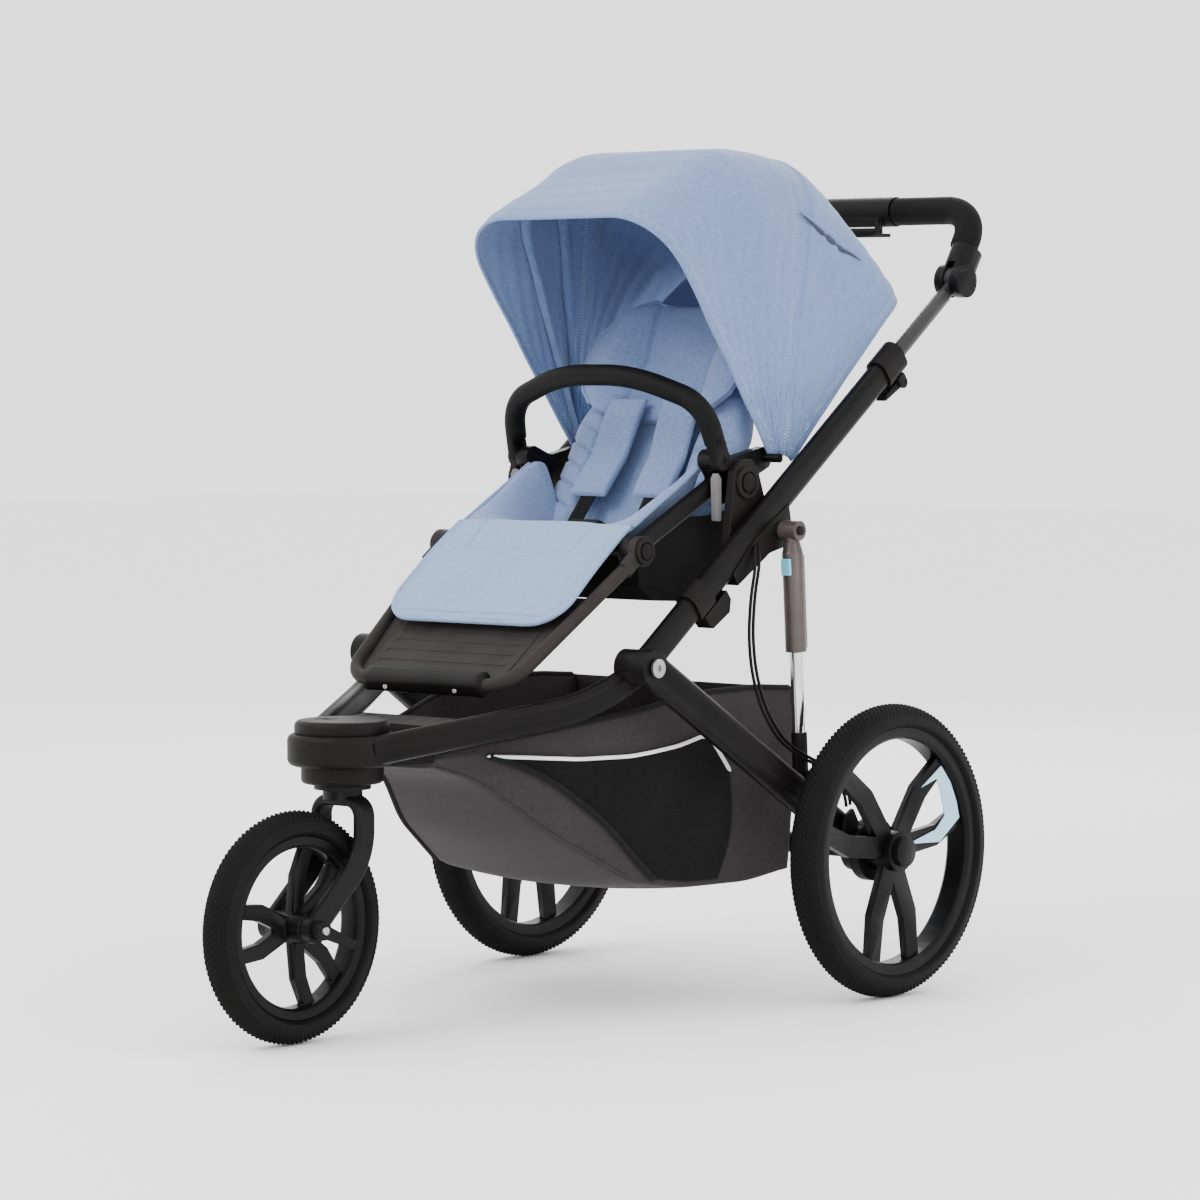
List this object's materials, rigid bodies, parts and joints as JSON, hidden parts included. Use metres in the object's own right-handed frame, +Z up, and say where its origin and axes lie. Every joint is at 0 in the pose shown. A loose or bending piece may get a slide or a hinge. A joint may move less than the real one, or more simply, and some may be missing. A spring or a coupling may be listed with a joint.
{
  "type": "baby stroller",
  "caption": "Three-wheel stroller with folding canopy, reclining padded seat, leg rest, bumper bar, basket, telescopic handlebar, swivel front fork and folding rear legs.",
  "frame": {"origin": "on the ground under the middle of the whole stroller", "axes": "+Z up, the front wheel points to -Y, +X to the left-hand side of the seated child"},
  "size_m": [0.6986, 1.3209, 1.127],
  "materials": {
    "frame_paint": "satin black powder coat",
    "frame_plastic": "fine textured black",
    "tray_plastic": "ribbed dark brown-grey",
    "fork_paint": "satin dark grey",
    "rim_plastic": "black moulded",
    "tyre": "black rubber, fine knobbly tread",
    "accent_blue": "pale blue",
    "button_blue": "sky blue",
    "strut_graphite": "graphite anodised",
    "chrome": "polished",
    "steel": "plain",
    "bow_steel": "spring wire",
    "slide_tube": "satin anodised",
    "grip_foam": "dark brown-black leatherette over foam",
    "bumper_sleeve": "leatherette sleeve",
    "cable_housing": "black",
    "basket_cloth": "grey woven cloth",
    "shell_cloth": "black woven cloth",
    "pad_cloth": "blue chambray",
    "rest_cloth": "light blue chambray",
    "canopy_cloth": "blue chambray",
    "lever_grey": "mauve grey",
    "buckle_plastic": "black",
    "footrest_plastic": "ribbed dark brown-black"
  },
  "bodies": {
    "frame": {"side_rail_left": "frame_paint", "side_rail_right": "frame_paint", "nose_housing": "frame_plastic", "nose_cap": "frame_plastic", "footwell_tray": "tray_plastic", "steering_plate": "frame_plastic", "strut_brackets": "frame_plastic", "height_collars": "frame_plastic", "fold_collars": "frame_plastic", "basket": "basket_cloth", "seat_mounts": "frame_plastic"},
    "swivel_lock": {"swivel_lock_lever": "frame_plastic"},
    "fork": {"front_fork": "fork_paint", "front_axle": "steel"},
    "axle_lever": {"front_axle_lever": "frame_plastic"},
    "front_wheel": {"front_tyre": "tyre", "front_rim": "rim_plastic"},
    "rear_legs": {"rear_leg_left": "frame_paint", "rear_leg_right": "frame_paint", "leg_pivot_screws": "steel", "brake_drums": "frame_plastic", "rear_axle": "frame_paint", "brake_cables": "cable_housing"},
    "rear_wheel_left": {"rear_tyre_left": "tyre", "rear_rim_left": "rim_plastic", "wheel_accent_left": "accent_blue"},
    "rear_wheel_right": {"rear_tyre_right": "tyre", "rear_rim_right": "rim_plastic", "wheel_accent_right": "accent_blue"},
    "strut_tubes": {"strut_tube_left": "strut_graphite", "strut_tube_right": "strut_graphite"},
    "strut_rods": {"strut_rod_left": "chrome", "strut_rod_right": "chrome", "strut_feet": "frame_plastic"},
    "strut_button_left": {"strut_button_left": "button_blue"},
    "strut_button_right": {"strut_button_right": "button_blue"},
    "handle_slides": {"handle_tube_left": "slide_tube", "handle_tube_right": "slide_tube"},
    "handle": {"handlebar": "frame_paint", "handle_grips": "grip_foam", "handle_cover": "frame_plastic"},
    "brake_lever": {"brake_lever": "frame_plastic"},
    "height_lever_left": {"height_lever_left": "frame_plastic"},
    "height_lever_right": {"height_lever_right": "frame_plastic"},
    "seat": {"seat_frame": "frame_paint", "seat_shell": "shell_cloth", "seat_pad": "pad_cloth", "harness_buckle": "buckle_plastic", "canopy_rear": "canopy_cloth"},
    "seat_lever_left": {"seat_lever_left": "lever_grey"},
    "seat_lever_right": {"seat_lever_right": "lever_grey"},
    "backrest": {"backrest": "pad_cloth", "shoulder_pads": "pad_cloth"},
    "legrest": {"footrest": "footrest_plastic", "legrest_pad": "rest_cloth"},
    "bumper": {"bumper_bar": "bumper_sleeve"},
    "canopy_front": {"canopy_front": "canopy_cloth", "canopy_front_bow": "bow_steel"},
    "canopy_middle": {"canopy_middle": "canopy_cloth", "canopy_middle_bow": "bow_steel"}
  },
  "joints": [
    {"name": "handle_extend", "type": "slide", "parent": "frame", "child": "handle_slides", "axis": [0, 0.8034, 0.5955], "range_m": [-0.08, 0.08]},
    {"name": "handle_tilt", "type": "hinge", "parent": "handle_slides", "child": "handle", "pos_m": [0, 0.5749, 0.95013], "axis": [1, 0, 0], "range_deg": [-50, 15]},
    {"name": "brake_squeeze", "type": "hinge", "parent": "handle", "child": "brake_lever", "pos_m": [0, 0.6189, 1.02213], "axis": [1, 0, 0], "range_deg": [0, 10], "stiffness_Nm_per_rad": 1},
    {"name": "height_lever_left_flip", "type": "hinge", "parent": "frame", "child": "height_lever_left", "pos_m": [-0.212, 0.44103, 0.81233], "axis": [1, 0, 0], "range_deg": [0, 70]},
    {"name": "height_lever_right_flip", "type": "hinge", "parent": "frame", "child": "height_lever_right", "pos_m": [0.212, 0.44103, 0.81233], "axis": [1, 0, 0], "range_deg": [0, 70]},
    {"name": "front_swivel", "type": "hinge", "parent": "frame", "child": "fork", "pos_m": [0, -0.424, 0.315], "axis": [0, 0, 1], "continuous": true},
    {"name": "swivel_lock_lift", "type": "slide", "parent": "frame", "child": "swivel_lock", "axis": [0, 0, 1], "range_m": [0, 0.005]},
    {"name": "front_wheel_spin", "type": "hinge", "parent": "fork", "child": "front_wheel", "pos_m": [0, -0.515, 0.146], "axis": [1, 0, 0], "continuous": true},
    {"name": "axle_lever_turn", "type": "hinge", "parent": "fork", "child": "axle_lever", "pos_m": [0.05, -0.515, 0.146], "axis": [1, 0, 0], "range_deg": [0, 120]},
    {"name": "leg_fold", "type": "hinge", "parent": "frame", "child": "rear_legs", "pos_m": [0, -0.119, 0.457], "axis": [1, 0, 0], "range_deg": [0, 19.5], "deforming": ["brake_cables"]},
    {"name": "strut_swing", "type": "hinge", "parent": "frame", "child": "strut_tubes", "pos_m": [0, 0.174, 0.621], "axis": [1, 0, 0], "range_deg": [0, 12]},
    {"name": "strut_extend", "type": "slide", "parent": "strut_tubes", "child": "strut_rods", "axis": [0, 0.0573, -0.9984], "range_m": [-0.11, 0]},
    {"name": "strut_button_left_press", "type": "slide", "parent": "strut_tubes", "child": "strut_button_left", "axis": [0, 0.9984, 0.0573], "range_m": [0, 0.0025], "stiffness_N_per_m": 200},
    {"name": "strut_button_right_press", "type": "slide", "parent": "strut_tubes", "child": "strut_button_right", "axis": [0, 0.9984, 0.0573], "range_m": [0, 0.0025], "stiffness_N_per_m": 200},
    {"name": "rear_left_spin", "type": "hinge", "parent": "rear_legs", "child": "rear_wheel_left", "pos_m": [-0.32, 0.284, 0.195], "axis": [1, 0, 0], "continuous": true},
    {"name": "rear_right_spin", "type": "hinge", "parent": "rear_legs", "child": "rear_wheel_right", "pos_m": [0.32, 0.284, 0.195], "axis": [1, 0, 0], "continuous": true},
    {"name": "seat_lift", "type": "slide", "parent": "frame", "child": "seat", "axis": [0, 0, 1], "range_m": [0, 0.03]},
    {"name": "seat_lever_left_lift", "type": "slide", "parent": "seat", "child": "seat_lever_left", "axis": [0, 0, 1], "range_m": [0, 0.006]},
    {"name": "seat_lever_right_lift", "type": "slide", "parent": "seat", "child": "seat_lever_right", "axis": [0, 0, 1], "range_m": [0, 0.006]},
    {"name": "back_recline", "type": "hinge", "parent": "seat", "child": "backrest", "pos_m": [0, 0.092, 0.572], "axis": [1, 0, 0], "range_deg": [-25, 0]},
    {"name": "legrest_tilt", "type": "hinge", "parent": "seat", "child": "legrest", "pos_m": [0, -0.049, 0.6], "axis": [1, 0, 0], "range_deg": [-35, 0]},
    {"name": "bumper_swing", "type": "hinge", "parent": "seat", "child": "bumper", "pos_m": [0, 0.106, 0.714], "axis": [1, 0, 0], "range_deg": [0, 35]},
    {"name": "canopy_fold", "type": "hinge", "parent": "seat", "child": "canopy_front", "pos_m": [0, 0.216, 0.714], "axis": [1, 0, 0], "range_deg": [-45, 0]},
    {"name": "canopy_middle_follow", "type": "hinge", "parent": "seat", "child": "canopy_middle", "pos_m": [0, 0.216, 0.714], "axis": [1, 0, 0], "range_deg": [-23, 0]}
  ],
  "couplings": [
    {"joint": "strut_swing", "follows": "leg_fold", "ratio": 0.585},
    {"joint": "strut_extend", "follows": "leg_fold", "m_per_rad": -0.311},
    {"joint": "canopy_middle_follow", "follows": "canopy_fold", "ratio": 0.5}
  ]
}
